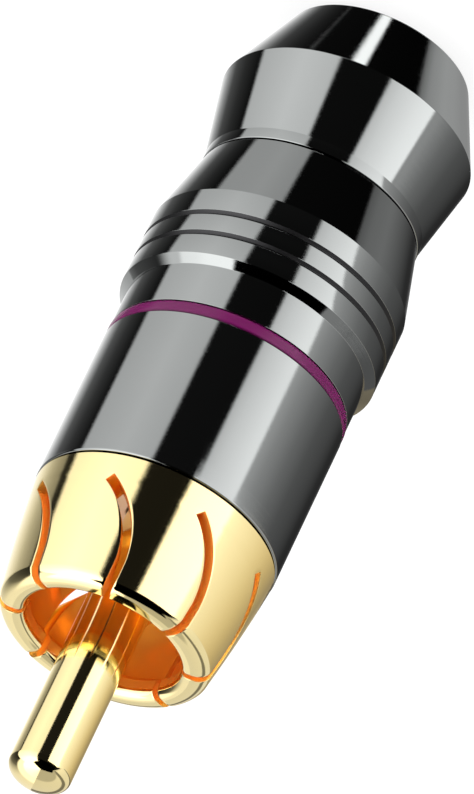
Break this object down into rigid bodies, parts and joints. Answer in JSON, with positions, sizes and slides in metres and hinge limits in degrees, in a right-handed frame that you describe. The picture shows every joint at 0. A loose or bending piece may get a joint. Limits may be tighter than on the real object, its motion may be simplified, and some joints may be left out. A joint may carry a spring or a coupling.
{
  "type": "rca plug",
  "caption": "Cable plug with a domed centre pin in a collar of curved spring petals, a screw-on tubular barrel with a marking ring, and a waisted clamp nut at the cable end.",
  "frame": {"origin": "middle of the tail nut's flat end face, on the plug's axis", "axes": "+Z along the plug's axis from the cable end to the tip of the centre pin; -Y towards the ground tab's strip"},
  "size_m": [0.0134, 0.0134, 0.0443],
  "materials": {
    "gold_plate": "polished gold plate on brass",
    "plated_brass": "satin plated brass",
    "dark_chrome": "dark polished chrome plate on brass",
    "purple_band": "smooth purple elastomer",
    "white_insulator": "moulded insulator, satin",
    "black_plastic": "black plastic, satin"
  },
  "bodies": {
    "tail": {"tail_nut": "dark_chrome"},
    "collet": {"cable_collet": "black_plastic"},
    "barrel": {"barrel": "dark_chrome", "ident_ring": "purple_band"},
    "liner": {"liner": "black_plastic"},
    "core": {"centre_pin": "gold_plate", "ground_collar": "gold_plate", "front_insulator": "white_insulator", "rear_insulator": "white_insulator", "ground_tab": "plated_brass", "lock_nut": "plated_brass"}
  },
  "joints": [
    {"name": "tail_turn", "type": "hinge", "parent": "tail", "child": "collet", "pos_m": [0, 0, 0.0092], "axis": [0, 0, 1], "range_deg": [0, 1440]},
    {"name": "tail_travel", "type": "slide", "parent": "collet", "child": "barrel", "axis": [0, 0, 1], "range_m": [0, 0.0031]},
    {"name": "barrel_turn", "type": "hinge", "parent": "barrel", "child": "liner", "pos_m": [0, 0, 0.02894], "axis": [0, 0, 1], "range_deg": [0, 1800]},
    {"name": "barrel_travel", "type": "slide", "parent": "liner", "child": "core", "axis": [0, 0, 1], "range_m": [0, 0.0038]}
  ],
  "couplings": [
    {"joint": "tail_travel", "follows": "tail_turn", "m_per_rad": 0.00011937},
    {"joint": "barrel_travel", "follows": "barrel_turn", "m_per_rad": 0.00011937}
  ]
}
